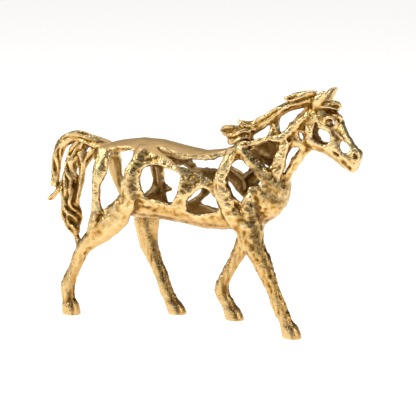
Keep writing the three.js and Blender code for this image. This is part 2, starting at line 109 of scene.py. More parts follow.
class CastingColours(bpy.types.PropertyGroup):
    """Colours of the gold leaf and the studio, as sRGB hex values"""

    leaf: bpy.props.StringProperty(
        name="Leaf", description="Gold leaf on the broad surfaces", default="#C89C58")
    burnished: bpy.props.StringProperty(
        name="Burnished", description="Leaf rubbed bright on lumps and edges", default="#E9CD95")
    # Painted shade: this brown, partly real size and dirt, darkens the furrows and pits where shade falls
    hollow_dirt_and_shade: bpy.props.StringProperty(
        name="Hollow", description="Brown size and dirt left in furrows and pits", default="#755220")
    # Painted light: this lighter leaf on the up-facing top of the back is partly a real matt finish and
    # partly light from above painted in
    matt: bpy.props.StringProperty(
        name="Matt", description="Unburnished leaf on top of the back", default="#E3C189")
    # Painted shade: this darker gilding on the inner walls is partly duller leaf and partly shade in the
    # cavity
    inside: bpy.props.StringProperty(
        name="Inside", description="Duller gilding on the inner walls", default="#977138")
    # Dark colour of the listed dark lines, of painted shade in the hoof grooves and of a painted dark
    # reflection on the legs' sideways faces
    dark_marks_and_shade: bpy.props.StringProperty(
        name="Stain", description="Dark patina where the leaf is worn through", default="#6F5A36")
    floor: bpy.props.StringProperty(
        name="Floor", description="Seamless white paper under and behind the horse", default="#F6F5F3")


class StudioSizes(bpy.types.PropertyGroup):
    """Place and focal length of the camera"""

    azimuth: bpy.props.FloatProperty(
        name="Azimuth", description="Turn of the camera from the horse's side towards its head",
        default=math.radians(20), subtype="ANGLE", unit="ROTATION")
    elevation: bpy.props.FloatProperty(
        name="Elevation", description="Angle at which the camera looks down",
        default=math.radians(13), subtype="ANGLE", unit="ROTATION")
    distance: bpy.props.FloatProperty(
        name="Distance", description="Distance from the camera to the middle of the horse",
        default=1.9, min=0.5, subtype="DISTANCE", unit="LENGTH")
    focal_pixels: bpy.props.FloatProperty(
        name="Focal length", description="Focal length in pixels of a frame 416 pixels wide",
        default=1520, min=100)


# Small helpers

def linear(hex_colour):
    """The linear RGBA of an sRGB hex value."""
    channels = [int(hex_colour[i:i + 2], 16) / 255 for i in (1, 3, 5)]
    return [c / 12.92 if c <= 0.04045 else ((c + 0.055) / 1.055) ** 2.4 for c in channels] + [1.0]


def select_only(*objects):
    """Selects these objects alone, the last one active."""
    bpy.ops.object.select_all(action="DESELECT")
    for thing in objects:
        thing.select_set(True)
    bpy.context.view_layer.objects.active = objects[-1]


def apply_modifier(thing, kind, **settings):
    """Adds a modifier with its settings and applies it."""
    select_only(thing)
    modifier = thing.modifiers.new(kind.lower(), kind)
    for name, value in settings.items():
        setattr(modifier, name, value)
    bpy.ops.object.modifier_apply(modifier=modifier.name)


def soften(thing, rounds, group=""):
    """Smooths a skin that many times over, where its vertex group says or all over."""
    apply_modifier(thing, "SMOOTH", factor=0.5, iterations=rounds, vertex_group=group)


def piece(name):
    """The object of that name, which an earlier step has made."""
    found = bpy.data.objects.get(name)
    if found is None:
        raise RuntimeError(f"{name} has not been made yet")
    return found


def positions(mesh):
    """The vertices of a mesh as an array, in millimetres."""
    flat = np.empty(len(mesh.vertices) * 3, np.float32)
    mesh.vertices.foreach_get("co", flat)
    return flat.reshape(-1, 3) / MM


def normals(mesh):
    """The vertex normals of a mesh as an array."""
    flat = np.empty(len(mesh.vertices) * 3, np.float32)
    mesh.vertex_normals.foreach_get("vector", flat)
    return flat.reshape(-1, 3)


def ramp(value, low, high):
    """A smooth step from 0 at low to 1 at high."""
    share = np.clip((value - low) / (high - low), 0, 1)
    return share * share * (3 - 2 * share)


def near_lines(place, lines):
    """1 near the lines, on either side of the horse, falling to 0 a little past their half width.

    A distance across the horse counts less than one in its side view.
    """
    across = 0.4
    core = 0.4
    reach = 1.3
    weight = np.zeros(len(place))
    flat = place * (1, across, 1)
    for width, points in lines:
        for side in (1, -1):
            path = np.array(points, float) * (1, across * side, 1)
            for start, end in zip(path, path[1:]):
                run = end - start
                share = np.clip(((flat - start) @ run) / (run @ run), 0, 1)
                gap = np.linalg.norm(flat - start - share[:, None] * run, axis=1)
                weight = np.maximum(weight, 1 - ramp(gap, core * width, reach * width))
    return weight


def weigh(thing, name, weights):
    """Keeps weights from 0 to 1 in a vertex group, in even steps."""
    most = 15
    group = thing.vertex_groups.new(name=name)
    steps = np.round(weights * most).astype(int)
    for step in range(1, most + 1):
        group.add(np.nonzero(steps == step)[0].tolist(), step / most, "REPLACE")
    return group.name


# Form

# Heads of the bars that melt into the back, alike on both sides: (half width, points [x, y, z]) in mm
BAR_HEADS = [
    (9, [[-63, -24, 230], [-66, -29, 220]]),
    (8, [[-119, -14, 222], [-121, -20, 214]]),
]


def copy_of_casting():
    """A copy of the solid, with its loose triangles merged into one skin."""
    merge_gap = 0.002 * MM
    made = bpy.data.objects.new(PIECE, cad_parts[NODE].data.copy())
    bpy.context.scene.collection.objects.link(made)
    made.data.materials.clear()
    select_only(made)
    bpy.ops.object.mode_set(mode="EDIT")
    bpy.ops.mesh.select_all(action="SELECT")
    bpy.ops.mesh.remove_doubles(threshold=merge_gap)
    bpy.ops.object.mode_set(mode="OBJECT")
    return made


class HORSE_OT_form(bpy.types.Operator):
    """Rounds the solid's facets into one smooth skin"""

    bl_idname = "horse.form"
    bl_label = "Casting form"

    def execute(self, context):
        sizes = context.scene.casting_sizes
        skin_rounds = 10
        head_rounds = 60
        swelling = 0.5 * MM
        casting = copy_of_casting()
        apply_modifier(casting, "REMESH", mode="VOXEL", voxel_size=sizes.form_voxel)
        soften(casting, skin_rounds)
        apply_modifier(casting, "DISPLACE", strength=swelling, mid_level=0)
        heads = weigh(casting, "heads", near_lines(positions(casting.data), BAR_HEADS))
        soften(casting, head_rounds, heads)
        casting.vertex_groups.clear()
        return {"FINISHED"}


# Hair

# Locks of the mane, forelock and tail, as stations [x, y, z, half width, half thickness] in mm
MANE = {
    "poll": [
        [152, -2, 297, 6, 7], [139, -4, 297.5, 7, 7], [125, -7, 295, 5.5, 5.5], [117, -9, 294, 3.2, 3.2],
        [110.5, -10, 293.5, 1.2, 1.2]],
    "crest": [
        [147, -2, 293, 6, 8], [129, -3, 289, 5.5, 8], [114, -3, 283.5, 6, 8], [103, -3, 276.5, 6, 8],
        [89, -3, 267.5, 6, 8], [73, -3, 256, 7, 8], [61, -3, 244, 8, 9]],
    "withers_upper": [
        [77, -5, 257, 6, 6], [66, -7, 257, 5.5, 6], [59, -8, 260, 4.5, 5], [52, -9, 265, 1.2, 1.2]],
    "withers_long": [
        [71, -6, 249, 8, 8], [57, -8, 249, 9, 7], [45, -9, 249.5, 8.5, 6], [36, -10, 251, 6, 4],
        [30, -10, 253, 2, 1.5]],
    "withers_lower": [
        [65, -6, 239, 9, 9], [53, -8, 240, 8, 8], [44, -9, 239, 6, 6], [38, -9, 238, 3, 3]],
}
FORELOCK = {
    "upper": [
        [153, -5, 290, 6, 8], [167, -6, 289, 6, 7.5], [177, -7, 287.5, 5.5, 6.5], [183, -8, 284, 3, 4]],
    "lower": [
        [161, -7, 281, 4.5, 6], [173, -8, 276, 3.8, 5], [180, -9, 275, 4.2, 5], [185.5, -9, 271, 2.6, 3]],
}
TAIL = {
    "outer": [
        [-117, 0, 217, 5.5, 9], [-138, 0, 222.5, 7.5, 9], [-163, 0, 229, 8.5, 7], [-179, -1, 226, 8, 6.5],
        [-190, -1, 215, 7, 6], [-194.7, -2, 203, 6.5, 5.5], [-195.7, -2, 190, 5.8, 5],
        [-196, -3, 178, 6.2, 5], [-198, -3, 168, 6.2, 5], [-200, -4, 160, 4, 3.5]],
    "curl": [
        [-177, -5, 186, 4, 4], [-183, -6, 174, 4, 4], [-189, -7, 163, 3.6, 3.6],
        [-195, -7, 154, 3.2, 3.2], [-202, -8, 147.5, 3.2, 3], [-207.5, -8, 144.5, 2.8, 2.6]],
    "middle": [
        [-155, -1, 224, 8, 7], [-165, -1, 214, 9, 8], [-170, -2, 204.5, 9.5, 8],
        [-173.7, -4, 194, 9.5, 8], [-175, -5, 182, 10, 8], [-176, -6, 171, 11.5, 8],
        [-174.7, -8, 159, 13.5, 8.5], [-176, -9, 147, 13.5, 8.5], [-175, -10, 137, 13, 8.5],
        [-171, -11, 127, 13.5, 8.5], [-168.7, -12, 118, 11, 8.5], [-165, -15, 110, 7.5, 7],
        [-162, -18, 103, 5.5, 6]],
    "inner": [
        [-129, -2, 215, 7, 7], [-139, -3, 212, 7, 6], [-147, -4, 207, 5, 5], [-154, -5, 198, 5.5, 5],
        [-157.7, -6, 187, 4.5, 4.5], [-158, -7, 177, 3.5, 4], [-160, -8, 166, 3.2, 4],
        [-163, -9, 154, 4, 4], [-166, -10, 142, 4, 4]],
    "web": [
        [-161, -4, 211, 6, 7], [-157, -5, 204, 8, 7], [-159, -6, 196, 7, 6], [-161, -7, 189, 4.5, 4.5]],
    "wisp": [
        [-180, -9, 138, 4, 4], [-185.5, -9, 129, 2.6, 3], [-184, -9, 121, 2, 2], [-177, -9, 113, 2, 2]],
}
LOCKS = [*MANE.values(), *FORELOCK.values(), *TAIL.values()]

# How each group is laid: its locks, the strands in a broad lock, and how much thicker its strands are
HAIR = [
    (MANE, 6, 1.35),
    (FORELOCK, 5, 1.3),
    (TAIL, 10, 1.0),
]

# A lock is broad past this half width in mm, and a narrower one has this many strands
BROAD_LOCK = 6.5
NARROW_LOCK_STRANDS = 5


def hair_weight(place):
    """1 on the mane, forelock and tail, 0 elsewhere."""
    core = 1.2
    reach = 1.7
    weight = np.zeros(len(place))
    for lock in LOCKS:
        path = np.array(lock, float)
        for start, end in zip(path, path[1:]):
            run = end[:3] - start[:3]
            share = np.clip(((place - start[:3]) @ run) / (run @ run), 0, 1)
            gap = np.linalg.norm(place - start[:3] - share[:, None] * run, axis=1)
            width = start[3] + share * (end[3] - start[3])
            weight = np.maximum(weight, 1 - ramp(gap / width, core, reach))
    return weight


def lock_strands(stations, count, share, seed):
    """Strands laid round a lock, as lists of (x, y, z, radius) in millimetres.

    They wind a little, wander, sink into the lock and rise, and end unevenly. Places along the lock are
    counted in stations, and turns round it are in radians.
    """
    steps_per_station = 6
    uneven_end = 0.35
    uneven_turn = 0.35
    twist = 0.3
    wander = 0.45
    wander_rate = (0.9, 1.7)
    lift_middle = 0.8
    lift_swing = 0.14
    lift_rate = (1.2, 2.6)
    any_phase = (0, 6)
    thick_limit = 1.1
    uneven_radius = (0.85, 1.2)
    thinnest = 1.4
    taper_length = 1.2
    taper_share = 0.45
    rounding = 5
    least_run = 1e-6

    rng = np.random.RandomState(seed)
    table = np.array(stations, float)
    knots = np.arange(len(table))
    steps = steps_per_station * (len(table) - 1)
    strands = []
    for index in range(count):
        end = len(table) - 1 - rng.uniform(0, uneven_end)
        along = np.linspace(0, end, steps)
        x, y, z, half, thick = [np.interp(along, knots, column) for column in table.T]
        even = np.ones(rounding) / rounding
        padded = [np.pad(column, rounding // 2, mode="edge") for column in (x, y, z)]
        x, y, z = [np.convolve(column, even, mode="valid") for column in padded]
        run = np.gradient(np.stack([x, z], 1), axis=0)
        run /= np.maximum(np.linalg.norm(run, axis=1), least_run)[:, None]
        phase = 2 * math.pi * index / count + rng.uniform(-uneven_turn, uneven_turn)
        sway = np.sin(along * rng.uniform(*wander_rate) + rng.uniform(*any_phase))
        turn = phase + twist * along + wander * sway
        swell = np.sin(along * rng.uniform(*lift_rate) + rng.uniform(*any_phase))
        lift = lift_middle + lift_swing * swell
        out = lift * half * np.cos(turn)
        radius = share * np.minimum(half, thick * thick_limit) * rng.uniform(*uneven_radius)
        taper = 1 - taper_share * ramp(along, end - taper_length, end)
        strands.append(list(zip(
            x - run[:, 1] * out, y + lift * thick * np.sin(turn), z + run[:, 0] * out,
            np.maximum(radius, thinnest) * taper)))
    return strands


def tubes(name, strands):
    """Makes one mesh of round closed tubes along lists of (x, y, z, radius) in millimetres."""
    data = bpy.data.curves.new(name, "CURVE")
    data.dimensions = "3D"
    data.bevel_depth = MM
    data.bevel_resolution = 2
    data.use_fill_caps = True
    for points in strands:
        spline = data.splines.new("POLY")
        spline.points.add(len(points) - 1)
        for point, (x, y, z, radius) in zip(spline.points, points):
            point.co = (x * MM, y * MM, z * MM, 1)
            point.radius = radius
    made = bpy.data.objects.new(name, data)
    bpy.context.scene.collection.objects.link(made)
    select_only(made)
    bpy.ops.object.convert(target="MESH")


class HORSE_OT_hair(bpy.types.Operator):
    """Lays the strands of the mane, forelock and tail over their locks"""

    bl_idname = "horse.hair"
    bl_label = "Mane, forelock and tail"

    def execute(self, context):
        sizes = context.scene.casting_sizes
        casting = piece(PIECE)
        hair = weigh(casting, "hair", hair_weight(positions(casting.data)))
        apply_modifier(casting, "DISPLACE", strength=-sizes.lock_inset, mid_level=0, vertex_group=hair)
        casting.vertex_groups.clear()
        strands = []
        for locks, broad_lock_strands, thicker in HAIR:
            for seed, stations in enumerate(locks.values()):
                widest = max(row[3] for row in stations)
                count = broad_lock_strands if widest > BROAD_LOCK else NARROW_LOCK_STRANDS
                strands += lock_strands(stations, count, thicker * sizes.strand_share, seed)
        tubes("hair", strands)
        return {"FINISHED"}


# Face

def loop(x, y, z, half_long, half_high, radius, tilt):
    """A closed ring seen from the side, as a strand that meets itself."""
    steps = 24
    points = []
    for step in range(steps + 1):
        turn = 2 * math.pi * step / steps
        a = half_long * math.cos(turn)
        b = half_high * math.sin(turn)
        points.append((x + a * math.cos(tilt) - b * math.sin(tilt), y,
                       z + a * math.sin(tilt) + b * math.cos(tilt), radius))
    return points


# Ridges of the head and crest, as points (x, y, z, radius) in mm
EARS = [
    [(150, -12, 287, 2.2), (153, -13.5, 294, 2.4), (156.5, -14, 300.5, 2.2), (163, -15, 306.5, 1.4)],
    [(155, -11, 288, 2.2), (160, -13, 294, 2.4), (162, -14, 299.5, 2.0), (163.4, -15, 306.5, 1.4)],
    [(154, 8, 287, 2.4), (157, 10, 294, 2.6), (162.5, 12, 301, 2.2), (170.6, 13, 306.6, 1.3)],
    [(159, 8, 288, 2.2), (164.5, 10, 294.5, 2.4), (168, 12, 301, 2.0), (170.9, 13, 306.6, 1.3)],
]
LIDS = [
    loop(171.5, -17.5, 269, 7.8, 6.8, 2.3, -0.3),
    loop(172, 12.5, 265, 7.8, 6.8, 2.3, -0.3),
]
NOSTRILS = [
    loop(203.5, -18.5, 230.5, 3.6, 5.6, 1.4, 0.35),
    loop(203.5, -0.5, 230.5, 3.6, 5.6, 1.4, 0.35),
]
EYEBALL = [(163.5, -15, 270, 2.2), (168.5, -14, 269, 3.2), (171.5, -14, 268.5, 2.8)]
CHEEK = [(176, -18, 262, 1.2), (184, -18, 254, 1.8), (192, -18, 246, 1.2)]
CREST_STRUTS = [
    [(99, -8, 262, 2.4), (94, -9, 247, 2.4)],
    [(99, -8, 261, 2.4), (107, -9, 248, 2.4)],
]
LIPS = [
    [(186, -16, 229.5, 1.4), (193, -17, 223.5, 2.0), (200, -17, 217.5, 2.0), (204, -14, 215, 1.4)],
    [(184, -15, 223.5, 1.4), (191, -16, 217.5, 2.1), (197, -15.5, 212.5, 2.1), (201, -12, 211.5, 1.5)],
    [(182, -14, 228, 1.8), (186, -14.4, 225.5, 2), (193, -15, 220, 2.2), (202, -13, 213.5, 1.8)],
]


class HORSE_OT_face(bpy.types.Operator):
    """Raises the rims of ears, lids and nostrils, the lips, the cheek and the struts under the crest"""

    bl_idname = "horse.face"
    bl_label = "Face"

    def execute(self, context):
        tubes("face", [*EARS, *LIDS, *NOSTRILS, EYEBALL, CHEEK, *CREST_STRUTS, *LIPS])
        return {"FINISHED"}


# Ribs and joints

# Ribs on the inside of the far wall and swellings of the legs' joints, as points (x, y, z, radius) in mm
RIBS = [
    [(20, 27, 202, 3), (28, 28, 198, 4), (38, 29, 192, 4.5), (49, 28.5, 184, 4.5), (52, 28.5, 170, 4)],
    [(64, 24, 197, 3), (57, 27, 192, 3.5), (49, 28.5, 184, 4)],
    [(-69, 30, 192, 3), (-66, 30.5, 172, 4), (-61, 30, 159, 4), (-56, 28, 144, 3)],
]
JOINTS = [
    [(108.5, -24, 35.5, 4.6), (116.5, -24, 38.5, 4.6)],
    [(-56, 24, 25, 4.6), (-43, 24, 20, 4.6)],
    [(29, 24, 16, 4.4), (39, 24, 18, 4.4)],
    [(16.5, 24, 39, 4), (25, 24, 37.5, 4)],
]


class HORSE_OT_ribs(bpy.types.Operator):
    """Lays the ribs on the inside of the far wall and swells the joints of the legs"""

    bl_idname = "horse.ribs"
    bl_label = "Ribs and joints"

    def execute(self, context):
        tubes("ribs", RIBS + JOINTS)
        return {"FINISHED"}


# Relief

# Bars that the gilder left smooth, alike on both sides: (half width, points [x, y, z]) in mm
SMOOTH_BARS = [
    (8, [[-46, -30, 226], [-26, -35, 213], [-9, -38, 204]]),
]

# How much of the relief each part goes without, from none at 0 to all at 1
CALM = {
    "back": 0.85,
    "bars": 0.7,
    "legs": 0.5,
    "belly": 0.6,
    "haunch": 0.45,
    "hair": 0.8,
    "head": 0.5,
    "inside": 0.5,
}

# In the functions below each part fades in between the two values of a pair: places in mm, parts of a unit
# normal where the pair's name says how the skin is turned, and relief for the crown


def back_weight(place, facing):
    """1 on the smooth top of the back and croup, 0 elsewhere."""
    turned_up = (0.4, 0.75)
    top = (196, 206)
    behind_withers = (-60, -45)
    before_tail = (-142, -130)
    x, _, z = place.T
    length = ramp(-x, *behind_withers) * ramp(x, *before_tail)
    return ramp(facing[:, 2], *turned_up) * ramp(z, *top) * length


def leg_weight(place):
    """1 on the legs and thighs, 0 elsewhere."""
    fore_half = (-20, 20)
    fore_taller = 35
    leg_top = (75, 115)
    above_hoof = (14, 24)
    tail_side = (165, 172)
    tail_height = (100, 106)
    x, _, z = place.T
    below_top = 1 - ramp(z - fore_taller * ramp(x, *fore_half), *leg_top)
    return below_top * ramp(z, *above_hoof) * (1 - ramp(-x, *tail_side) * ramp(z, *tail_height))


def roughness_of(place, facing):
    """How much relief each part carries: none on the hooves, and less where CALM says."""
    leg_top = (85, 140)
    above_hoof = (8, 20)
    belly_top = (144, 158)
    belly_back = (-120, -100)
    belly_front = (60, 80)
    thigh_top = (150, 170)
    thigh_front = (-105, -85)
    buttock_front = (-118, -108)
    head_start = (148, 160)
    turned_in = (0.2, 0.6)
    trunk_floor = (135, 145)

    x, y, z = place.T
    rough = 1 - CALM["back"] * back_weight(place, facing)
    rough = rough * (1 - CALM["bars"] * near_lines(place, SMOOTH_BARS))
    rough = rough * (1 - CALM["legs"] + CALM["legs"] * ramp(z, *leg_top)) * ramp(z, *above_hoof)
    belly = (1 - ramp(z, *belly_top)) * ramp(x, *belly_back) * (1 - ramp(x, *belly_front))
    thigh = (1 - ramp(z, *thigh_top)) * (1 - ramp(x, *thigh_front))
    buttock = 1 - ramp(x, *buttock_front)
    smooth = np.maximum(CALM["belly"] * belly, CALM["haunch"] * np.maximum(thigh, buttock))
    rough = rough * (1 - smooth) * (1 - CALM["hair"] * hair_weight(place))
    rough = rough * (1 - CALM["head"] * ramp(x, *head_start))
    inward = ramp(-facing[:, 1] * np.sign(y), *turned_in) * ramp(z, *trunk_floor)
    return rough * (1 - CALM["inside"] * inward)


def displace(thing, name, width, height, group, depth, stretch=1.0):
    """Raises a cloud noise of that width and height from the surface; a stretch draws it out along Z."""
    texture = bpy.data.textures.new(name, "CLOUDS")
    texture.noise_scale = width
    texture.noise_depth = depth
    guide = bpy.data.objects.new(name, None)
    guide.scale = (1, 1, stretch)
    bpy.context.scene.collection.objects.link(guide)
    bpy.context.view_layer.update()
    apply_modifier(
        thing, "DISPLACE", texture=texture, texture_coords="OBJECT", texture_coords_object=guide,
        strength=height, mid_level=0.5, vertex_group=group)
    bpy.data.objects.remove(guide)
    bpy.data.textures.remove(texture)


def keep_in_box(mesh):
    """Flattens the soles on the floor and keeps the skin inside the solid's box."""
    sole_height = 0.9
    place = positions(mesh)
    low, high = [np.array(corner) / MM for corner in cad_box]
    place[:, 2] = np.where(place[:, 2] < sole_height, 0, place[:, 2])
    place = np.clip(place, low, high)
    mesh.vertices.foreach_set("co", (place * MM).astype(np.float32).ravel())
    mesh.update()


class HORSE_OT_relief(bpy.types.Operator):
    """Joins form, hair, face and ribs into one skin and raises its swellings, lumps and furrows"""

    bl_idname = "horse.relief"
    bl_label = "Relief"

    def execute(self, context):
        sizes = context.scene.casting_sizes
        furrow_stretch = 8
        casting = piece(PIECE)
        select_only(piece("hair"), piece("face"), piece("ribs"), casting)
        bpy.ops.object.join()
        apply_modifier(casting, "REMESH", mode="VOXEL", voxel_size=sizes.fine_voxel)
        soften(casting, 1)
        place = positions(casting.data)
        rough = weigh(casting, "rough", roughness_of(place, normals(casting.data)))
        legs = weigh(casting, "legs", leg_weight(place))
        displace(casting, "knots", sizes.knot_width, sizes.knot_height, rough, depth=1)
        displace(casting, "lumps", sizes.lump_width, sizes.lump_height, rough, depth=2)
        displace(casting, "streaks", sizes.streak_width, sizes.streak_depth, legs, depth=1,
                 stretch=furrow_stretch)
        casting.vertex_groups.clear()
        triangles = sum(len(face.vertices) - 2 for face in casting.data.polygons)
        if triangles > sizes.triangles:
            apply_modifier(casting, "DECIMATE", ratio=sizes.triangles / triangles)
        keep_in_box(casting.data)
        return {"FINISHED"}


# Surface

# Lines painted dark on the gilding, alike on both sides: (half width, points [x, y, z]) in mm
DARK_LINES = [
    (6, [[81, -39, 165], [84, -39, 141], [86, -39, 129], [91, -36, 107]]),
    (2.6, [[93, -34, 104], [99, -34, 92], [104, -34, 80], [114, -34, 59], [119, -34, 50], [124, -34, 27]]),
    (5, [[-64, -41, 223], [-65, -41, 206], [-73, -41, 200], [-74, -41, 178], [-72, -41, 165]]),
    (4, [[-81, 17, 126], [-76, 17, 104], [-71, 17, 90], [-68, 17, 74], [-62, 17, 59], [-53, 14, 36],
         [-43, 14, 20]]),
    (8, [[-11, -39, 207], [2, -39, 204], [15, -39, 199], [-3, -39, 183]]),
    (7, [[84, -28, 208], [101, -28, 197], [122, -24, 180]]),
    (7, [[95, -28, 178], [114, -26, 167]]),
    (5.5, [[71, -30, 231], [80, -30, 222], [89, -30, 212]]),
    (4, [[174, -16, 263], [180, -16, 251], [185, -16, 238]]),
    (2.5, [[-171, -34, 34], [-168, -34, 25]]),
    (2, [[33, 14, 24], [36, 14, 18]]),
]

# Grooves down the fronts of the hooves, painted dark as shade, in the same form
SHADED_GROOVES = [
    (2.2, [[-164, -34, 16], [-163, -35, 0]]),
    (2.2, [[-39, 14, 15], [-35, 13, 2]]),
    (2.2, [[131, -34, 14], [134, -35, 0]]),
    (2.2, [[42, 14, 13], [44, 13, 0]]),
]


def smoothed(values, edges, counts, rounds):
    """Values averaged with their neighbours' along the edges, several times over."""
    for _ in range(rounds):
        total = values.copy()
        np.add.at(total, edges[:, 0], values[edges[:, 1]])
        np.add.at(total, edges[:, 1], values[edges[:, 0]])
        values = total / counts[:, None]
    return values


def keep_attributes(mesh):
    """Writes what the leaf reads.

    They are relief, -1 in hollows to 1 on crowns, lowered a little on the hair and lowered as painted shade
    low down and on faces turned ahead or down; inside, 1 on walls that face the inner cavity, which the
    leaf darkens partly as painted shade; the dark marks, 1 on the listed dark lines, as painted shade in
    the hoof grooves and as a painted dark reflection on the legs' sideways faces; and the top weight, 1 on
    the matt top of the back, which the leaf lightens as painted light from above.
    """
    fine_rounds = 4
    broad_rounds = 10
    fine_height = 0.2
    broad_height = 0.45
    turned_ahead = (0.1, 0.7)
    turned_down = (0, 0.6)
    breast_top = (150, 190)
    elbow = (105, 130)
    leg_top = (100, 160)
    trunk_floor = (132, 142)
    trunk_back = (-135, -120)
    turned_in = (0.15, 0.55)
    off_middle = (3, 8)
    crown = (0.1, 0.8)
    streak_ahead = 0.5
    streak_aside = 0.86
    streak_turned = (0.86, 0.99)
    fine_share = 0.5
    broad_share = 0.7
    hair_toned = 0.15
    legs_shade = 0.5
    turned_shade = 0.4
    crown_cleared = 0.6
    dark_reflection_share = 0.45

    place = positions(mesh).astype(float)
    facing = normals(mesh)
    flat = np.empty(len(mesh.edges) * 2, np.int32)
    mesh.edges.foreach_get("vertices", flat)
    edges = flat.reshape(-1, 2)
    counts = 1.0 + np.bincount(edges.ravel(), minlength=len(place))
    near = smoothed(place, edges, counts, fine_rounds)
    wide = smoothed(near, edges, counts, broad_rounds)
    fine = ((place - near) * facing).sum(1) / fine_height
    broad = ((near - wide) * facing).sum(1) / broad_height
    relief = np.clip(fine_share * fine + broad_share * broad, -1, 1)
    x, y, z = place.T

    # Painted shade: everything low down, faces turned ahead below the breast and faces turned down are
    # darkened as shade; the hair is darkened a little too
    front = ramp(facing[:, 0], *turned_ahead) * (1 - ramp(z, *breast_top))
    under = ramp(-facing[:, 2], *turned_down) * ramp(z, *elbow)
    legs = 1 - ramp(z, *leg_top)
    shade_and_hair_tone = hair_toned * hair_weight(place) + legs_shade * legs + turned_shade * np.maximum(front, under)
    relief = smoothed(relief[:, None], edges, counts, 1)[:, 0] - shade_and_hair_tone

    # Walls that face the cavity, which the leaf darkens partly as painted shade
    trunk = ramp(z, *trunk_floor) * ramp(x, *trunk_back)
    inside = ramp(-facing[:, 1] * np.sign(y), *turned_in) * trunk * ramp(np.abs(y), *off_middle)
    inside = smoothed(inside[:, None], edges, counts, 2)[:, 0] * (1 - crown_cleared * ramp(relief, *crown))

    # Painted dark reflection: leg faces turned sideways and a little ahead are darkened as if they mirrored
    # something dark
    turned = streak_ahead * facing[:, 0] + streak_aside * np.abs(facing[:, 1])
    dark_reflection = ramp(turned, *streak_turned) * leg_weight(place)
    # Dark marks: the listed lines, the hoof grooves as painted shade, and the legs' painted dark reflection
    dark_marks_and_shade = np.maximum(near_lines(place, DARK_LINES), dark_reflection_share * dark_reflection)
    dark_marks_and_shade = np.maximum(dark_marks_and_shade, near_lines(place, SHADED_GROOVES))
    # Painted light: the up-facing top of the back is lightened as if lit from above, and made matt
    satin_and_top_light = back_weight(place, facing)
    for name, values in (("relief", relief), ("inside", inside), ("dark_marks_and_shade", dark_marks_and_shade), ("satin_and_top_light", satin_and_top_light)):
        attribute = mesh.attributes.new(name, "FLOAT", "POINT")
        attribute.data.foreach_set("value", values.astype(np.float32))


class HORSE_OT_surface(bpy.types.Operator):
    """Gilds the finished skin and gives it to the solid that it stands for"""

    bl_idname = "horse.surface"
    bl_label = "Surface and gilding"

    def execute(self, context):
        casting = piece(PIECE)
        keep_attributes(casting.data)
        select_only(casting)
        bpy.ops.object.shade_smooth()
        casting.data.materials.clear()
        casting.data.materials.append(gold_leaf(context.scene.casting_colours))
        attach(casting, "root")
        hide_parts(NODE)
        return {"FINISHED"}


# Materials

# Sockets of a colour mix: its factor, its two colours and its result
FACTOR = 0
FIRST = 6
SECOND = 7
RESULT = 2


def add_node(tree, kind, inputs=None, **settings):
    """Adds a node with its settings, and fills or links its inputs."""
    made = tree.nodes.new(kind)
    for name, value in settings.items():
        setattr(made, name, value)
    for name, value in (inputs or {}).items():
        if isinstance(value, bpy.types.NodeSocket):
            tree.links.new(value, made.inputs[name])
        else:
            made.inputs[name].default_value = value
    return made


def new_material(name):
    """An empty material, with its shader and its tree."""
    made = bpy.data.materials.new(name)
    made.use_nodes = True
    tree = made.node_tree
    tree.nodes.clear()
    shader = add_node(tree, "ShaderNodeBsdfPrincipled")
    add_node(tree, "ShaderNodeOutputMaterial", {"Surface": shader.outputs["BSDF"]})
    return made, tree, shader


